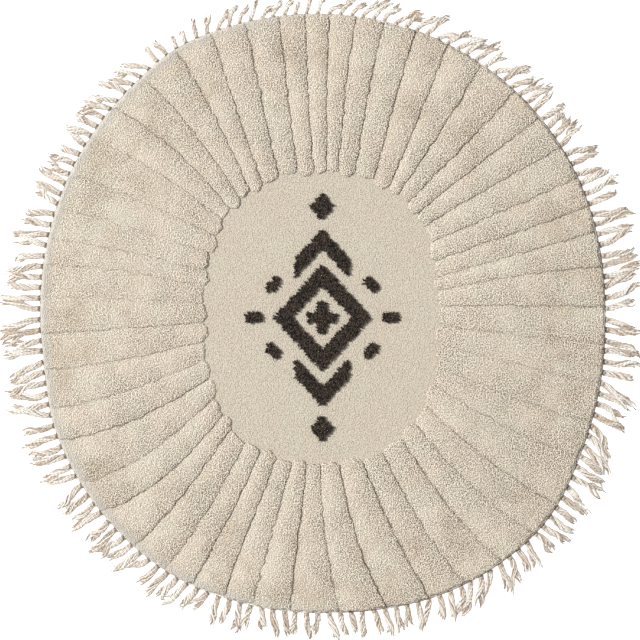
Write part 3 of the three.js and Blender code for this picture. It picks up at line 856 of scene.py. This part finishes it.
def tuft_places(outlines, random):
    """The feet of tufts that fill outlines, and how each one leans."""
    reach = np.abs(np.concatenate(outlines)).max() + TUFT_PITCH
    rows = np.arange(-reach, reach, TUFT_PITCH * math.sqrt(3) / 2)
    steps = np.arange(-reach, reach, TUFT_PITCH)
    x, y = np.meshgrid(steps, rows)
    x = x + (np.arange(len(rows)) % 2)[:, None] * TUFT_PITCH / 2
    places = np.stack([x.ravel(), y.ravel()], -1)
    places = places + random.normal(0, 0.45, places.shape)
    inside, distance, out = inside_and_edge(places, outlines)
    kept = inside & (distance > EDGE_INSET + random.normal(0, 0.6, len(places)))
    places, distance, out = places[kept], distance[kept], out[kept]
    lean = out * (np.clip(1 - distance / LEAN_REACH, 0, 1) * EDGE_LEAN)[:, None]
    return places, lean + random.normal(0, 0.55, places.shape), distance


def add_edge_fibres(bundle, plan, level, lean, random):
    """Fine fibres that stand out all round the edge of a patch."""
    out = lean / np.maximum(np.linalg.norm(lean, axis=-1, keepdims=True), 0.3)
    for _ in range(FIBRES_PER_EDGE_TUFT):
        length = random.uniform(*FIBRE_LENGTH, len(out))[:, None]
        way = out * length + random.normal(0, 0.8, out.shape)
        from_height = random.uniform(0.45, 1.0, len(out))
        share = np.linspace(0, 1, len(FIBRE_RADII))
        drop = random.uniform(0.2, 2.2, len(out))[:, None] * share**2
        path = plan[:, 2, None] + way[:, None] * share[:, None]
        height = (level[:, -1] * from_height)[:, None] - drop
        paths = np.concatenate([path, height[..., None]], -1)
        bundle.add(tubes(paths, np.tile(FIBRE_RADII, (len(paths), 1)), 3), 0.4, 0.0)


def make_motif(finish):
    """The charcoal pile, tuft by tuft, one piece for each patch."""
    pieces = []
    for number, (node, outlines, x, y, turn) in enumerate(motif_patches()):
        random = np.random.default_rng(900 + number)
        places, lean, distance = tuft_places(outlines, random)
        cosine, sine = directions(float(turn))
        rotation = np.array([[cosine, sine], [-sine, cosine]])
        places = places @ rotation + [x + FIELD_X, y + FIELD_Y]
        lean = lean @ rotation
        height = MOTIF_PILE + random.normal(0, 0.5, len(places)) - EDGE_DROP * np.exp(-distance / 2.0)
        share = np.array(TUFT_RISE)
        plan = places[:, None] + lean[:, None] * (share**1.5)[:, None]
        level = GROUND_THICKNESS - PILE_ROOT_DEPTH + (height[:, None] + PILE_ROOT_DEPTH) * share
        paths = np.concatenate([plan, level[..., None]], -1)
        radii = TUFT_RADIUS * random.uniform(0.85, 1.15, len(places))[:, None] * TUFT_PROFILE
        # A hair's slant, so that an upright tuft has a side from which its corners are counted.
        made = tubes(paths + [0, 1e-4, 0] * share[:, None], radii, TUFT_SIDES)
        bundle = Bundle()
        tone = np.repeat(random.uniform(0, 1, len(places)), len(share) * TUFT_SIDES)
        shade = np.tile(np.repeat(1 - share, TUFT_SIDES), len(places))
        bundle.add(made, tone, shade)
        edge = distance < EDGE_REACH
        add_edge_fibres(bundle, plan[edge], level[edge], lean[edge], random)
        piece = bundle.piece(node.replace("motif", "charcoal"), finish)
        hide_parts(node)
        pieces.append(piece)
    return pieces


# Materials. A Value is a number that varies over a surface, and sums on it add Math nodes.
def set_inputs(node, values):
    for name, value in values.items():
        node.inputs[name].default_value = value


class Value:
    def __init__(self, finish, socket):
        self.finish = finish
        self.socket = socket

    def math(self, operation, *inputs, clamp=False):
        settings = {"operation": operation, "use_clamp": clamp}
        return self.finish.node("ShaderNodeMath", settings, dict(enumerate(inputs)), "Value")

    def __add__(self, other):
        return self.math("ADD", self, other)

    def __sub__(self, other):
        return self.math("SUBTRACT", self, other)

    def __rsub__(self, other):
        return self.math("SUBTRACT", other, self)

    def __mul__(self, other):
        return self.math("MULTIPLY", self, other)

    def __truediv__(self, other):
        return self.math("DIVIDE", self, other)

    __radd__ = __add__
    __rmul__ = __mul__

    def clamped(self):
        return self.math("ADD", self, 0.0, clamp=True)

    def sine(self):
        return self.math("SINE", self)

    def between(self, low, high):
        """0 under low, 1 over high, and smooth between."""
        settings = {"interpolation_type": "SMOOTHSTEP"}
        links = {"Value": self, "From Min": low, "From Max": high}
        return self.finish.node("ShaderNodeMapRange", settings, links, "Result")


class Finish:
    """A cloth material. node() adds any node, and the other methods the usual ones."""

    def __init__(self, name, roughness, sheen):
        self.material = bpy.data.materials.new(name)
        self.material.use_nodes = True
        self.tree = self.material.node_tree
        self.shader = self.tree.nodes["Principled BSDF"]
        looks = {"Roughness": roughness, "Specular IOR Level": 0.2}
        set_inputs(self.shader, looks | {"Sheen Weight": sheen, "Sheen Roughness": 0.6})
        self.place = self.node("ShaderNodeTexCoord", {}, {}, "Object")

    def node(self, kind, settings, links, output):
        made = self.tree.nodes.new(kind)
        for name, value in settings.items():
            setattr(made, name, value)
        for name, value in links.items():
            named = [one for one in made.inputs if name in (one.name, one.identifier)]
            self.feed(named[0] if named else made.inputs[name], value)
        outputs = [one for one in made.outputs if output in (one.name, one.identifier)]
        return Value(self, outputs[-1])

    def feed(self, socket, value):
        if isinstance(value, Value):
            self.tree.links.new(value.socket, socket)
        else:
            socket.default_value = value

    def noise(self, size, detail=2.0, place=None):
        """Soft noise from 0 to 1 with lumps of a size in millimetres."""
        links = {"Vector": place or self.place, "Scale": 1 / (size * MM), "Detail": detail}
        return self.node("ShaderNodeTexNoise", {}, links, "Fac")

    def cells(self, size, place=None):
        """How far places lie from the middles of cells of a size in millimetres, seen from above."""
        links = {"Vector": place or self.place, "Scale": 1 / (size * MM)}
        return self.node("ShaderNodeTexVoronoi", {"voronoi_dimensions": "2D"}, links, "Distance")

    def stretched(self, scale):
        """Places scaled along each axis, which draws out the noise laid on them."""
        links = {"Vector": self.place, "Scale": scale}
        return self.node("ShaderNodeMapping", {}, links, "Vector")

    def warped(self, place, size, reach):
        """Places pushed about by noise of a size, by up to a reach, both in millimetres."""
        push = self.node("ShaderNodeTexNoise", {}, {"Vector": place, "Scale": 1 / (size * MM)}, "Color")
        links = {0: push, 1: (reach * MM,) * 3, 2: place}
        return self.node("ShaderNodeVectorMath", {"operation": "MULTIPLY_ADD"}, links, "Vector")

    def attribute(self, name):
        return self.node("ShaderNodeAttribute", {"attribute_name": name}, {}, "Fac")

    def blend(self, share, low, high):
        """A colour a share of the way from low to high."""
        links = {"Factor_Float": share, "A_Color": low, "B_Color": high}
        return self.node("ShaderNodeMix", {"data_type": "RGBA"}, links, "Result_Color")

    def dressed(self, colour, height, distance, strength):
        """The material with its colour, and with fine relief that spans a distance in millimetres."""
        self.feed(self.shader.inputs["Base Color"], colour)
        links = {"Height": height, "Distance": distance * MM, "Strength": strength}
        self.feed(self.shader.inputs["Normal"], self.node("ShaderNodeBump", {}, links, "Normal"))
        return self.material


def rgb(red, green, blue):
    """A colour from 0 to 255 as seen on a screen, as light."""
    return tuple(((part / 255 + 0.055) / 1.055) ** 2.4 for part in (red, green, blue)) + (1.0,)


def pile_finish():
    """Undyed cotton pile: warm and cool patches, small tufts with painted shade between them and in the
    grooves, and a painted lit band on the left of the rim.
    """
    finish = Finish("natural_cotton_pile", 0.95, 0.12)
    warped = finish.warped(finish.place, 5.0, 2.0)
    gap = finish.cells(TUFT_GRAIN, warped)
    curl = finish.noise(CURL_GRAIN, 3.0)
    pit_shade = finish.attribute("pit_shade")
    groove_shade = finish.attribute("groove_shade")
    grain_and_shade = finish.attribute("grain_and_shade")
    length = {"operation": "LENGTH"}
    from_middle = finish.node("ShaderNodeVectorMath", length, {0: finish.place}, "Value")
    patches = finish.noise(75.0, 3.0).between(0.38, 0.62)
    base = finish.blend(patches, rgb(214, 205, 187), rgb(215, 202, 184))
    tan = finish.noise(50.0, 3.0).between(0.46, 0.7) * (from_middle.between(0.3, 0.5) * 0.3 + 0.1)
    base = finish.blend(tan, base, rgb(187, 170, 146))
    # Painted shade in the bump's hollows between tufts and curls, and in deep pits.
    grain = ((1 - gap.between(0.17, 0.43)) * 1.05 + (1 - curl.between(0.3, 0.5)) * 0.25) * grain_and_shade
    base = finish.blend((grain + pit_shade * 0.1 * grain_and_shade).clamped(), base, rgb(60, 44, 30))
    # Painted shade in the grooves.
    base = finish.blend(groove_shade * 0.78, base, rgb(70, 51, 37))
    # Painted light: a smooth, even band on the left of the rim.
    base = finish.blend(finish.attribute("lit_rim_band") * 0.85, base, rgb(181, 175, 165))
    return finish.dressed(base, gap + curl * 0.6, 1.7, 1.0)


def weave_finish():
    """The flat weave: fine cotton yarns of uneven thickness that cross, with soft patches."""
    finish = Finish("natural_cotton_flat_weave", 0.93, 0.1)
    warp = finish.noise(YARN_PITCH, 0.0, finish.stretched((1.0, 0.45, 1.0))).between(0.36, 0.62)
    weft = finish.noise(YARN_PITCH, 0.0, finish.stretched((0.45, 1.0, 1.0))).between(0.36, 0.62)
    grain = 1 - finish.cells(WEAVE_GRAIN).between(0.25, 0.75)
    patches = finish.noise(80.0, 3.0).between(0.3, 0.7)
    base = finish.blend(patches, rgb(200, 191, 173), rgb(201, 189, 171))
    dark = (1 - warp) * 0.06 + (1 - weft) * 0.05 + (1 - grain) * 0.31
    base = finish.blend(dark.clamped(), base, BLACK)
    return finish.dressed(base, warp * 0.4 + weft * 0.4 + grain, 0.6, 1.0)


def charcoal_finish():
    """Charcoal cotton pile, with painted shade that darkens each tuft towards its foot, so it is lighter
    at its cut tips.
    """
    finish = Finish("charcoal_pile", 0.9, 0.05)
    tone = finish.attribute("tone")
    shade = finish.attribute("shade")
    base = finish.blend(tone, rgb(6, 5, 3), rgb(78, 65, 54))
    base = finish.blend((shade * 0.95).clamped(), base, BLACK)
    return finish.dressed(base, finish.noise(1.2, 2.0), 0.8, 0.6)


def fringe_finish():
    """Loosely twisted undyed yarn: twist lines round each yarn, and warm shadow inside a tassel."""
    finish = Finish("natural_cotton_yarn", 0.95, 0.15)
    tone = finish.attribute("tone")
    shade = finish.attribute("shade")
    place = finish.node("ShaderNodeUVMap", {"uv_map": "yarn"}, {}, "UV")
    around = finish.node("ShaderNodeSeparateXYZ", {}, {"Vector": place}, "X")
    along = finish.node("ShaderNodeSeparateXYZ", {}, {"Vector": place}, "Y")
    twist = ((around * 2 + along / TWIST_LENGTH) * (2 * math.pi)).sine() * 0.5 + 0.5
    base = finish.blend(tone.between(0.0, 0.7), rgb(180, 162, 145), rgb(225, 220, 211))
    base = finish.blend(finish.noise(26.0, 2.0).between(0.45, 0.7) * 0.4, base, rgb(205, 186, 167))
    base = finish.blend(shade.clamped(), base, rgb(141, 124, 105))
    base = finish.blend(twist * 0.12, base, BLACK)
    return finish.dressed(base, 1 - twist, 0.7, 0.8)


# The stage.
def make_floor():
    bpy.ops.mesh.primitive_plane_add(size=FLOOR_SIZE, location=(0, 0, -FLOOR_DEPTH))
    floor = bpy.context.object
    floor.name = "floor"
    material = bpy.data.materials.new("floor_white")
    material.use_nodes = True
    grey = (FLOOR_WHITE, FLOOR_WHITE, FLOOR_WHITE, 1)
    looks = {"Base Color": grey, "Roughness": 1.0, "Specular IOR Level": 0.0}
    looks |= {"Emission Color": WHITE, "Emission Strength": FLOOR_GLOW}
    set_inputs(material.node_tree.nodes["Principled BSDF"], looks)
    floor.data.materials.append(material)


def make_lights():
    """A soft key light from the left, near enough to light the left a little more, and a white sky."""
    turn = (0.0, math.radians(90 - KEY_ELEVATION), math.radians(KEY_AZIMUTH))
    level = KEY_DISTANCE * math.cos(math.radians(KEY_ELEVATION))
    place = (*(directions(KEY_AZIMUTH) * level), KEY_DISTANCE * math.sin(math.radians(KEY_ELEVATION)))
    bpy.ops.object.light_add(type="AREA", location=place, rotation=turn)
    key = bpy.context.object
    key.name = "key_light"
    key.data.shape = "DISK"
    key.data.size = KEY_SIZE
    key.data.energy = KEY_LIGHT * math.pi * KEY_DISTANCE**2
    world = bpy.data.worlds.new("sky")
    world.use_nodes = True
    set_inputs(world.node_tree.nodes["Background"], {"Color": WHITE, "Strength": SKY_STRENGTH})
    bpy.context.scene.world = world
    bpy.context.scene.view_settings.view_transform = "Standard"


def make_camera():
    """Straight above the rug, with the photograph's frame."""
    bpy.ops.object.camera_add(location=(VIEW_X * MM, VIEW_Y * MM, CAMERA_HEIGHT), rotation=(0, 0, 0))
    camera = bpy.context.object
    camera.name = "camera"
    camera.data.sensor_width = SENSOR_WIDTH
    camera.data.lens = SENSOR_WIDTH * CAMERA_HEIGHT / (VIEW_WIDTH * MM)
    camera.data.clip_end = 100
    bpy.context.scene.camera = camera


def make_rug():
    """The rug with everything on it."""
    natural = pile_finish()
    pile = make_pile(natural)
    ground = make_ground(weave_finish())
    for piece in [*pile, ground]:
        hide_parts("rug")
    motif = make_motif(charcoal_finish())
    fringe = make_fringe(fringe_finish())
    angle = np.arange(0, 360, 0.5)
    area = float(np.mean(rim_radius(angle) ** 2) * math.pi * MM**2)


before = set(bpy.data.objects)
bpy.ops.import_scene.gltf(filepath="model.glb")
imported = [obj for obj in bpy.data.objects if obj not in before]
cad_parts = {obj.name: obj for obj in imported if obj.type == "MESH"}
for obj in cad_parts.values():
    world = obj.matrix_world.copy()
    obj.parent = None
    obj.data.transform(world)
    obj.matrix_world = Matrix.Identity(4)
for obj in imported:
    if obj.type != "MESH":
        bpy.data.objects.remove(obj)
bpy.ops.object.select_all(action="DESELECT")
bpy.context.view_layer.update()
make_camera()
make_rug()
make_floor()
make_lights()
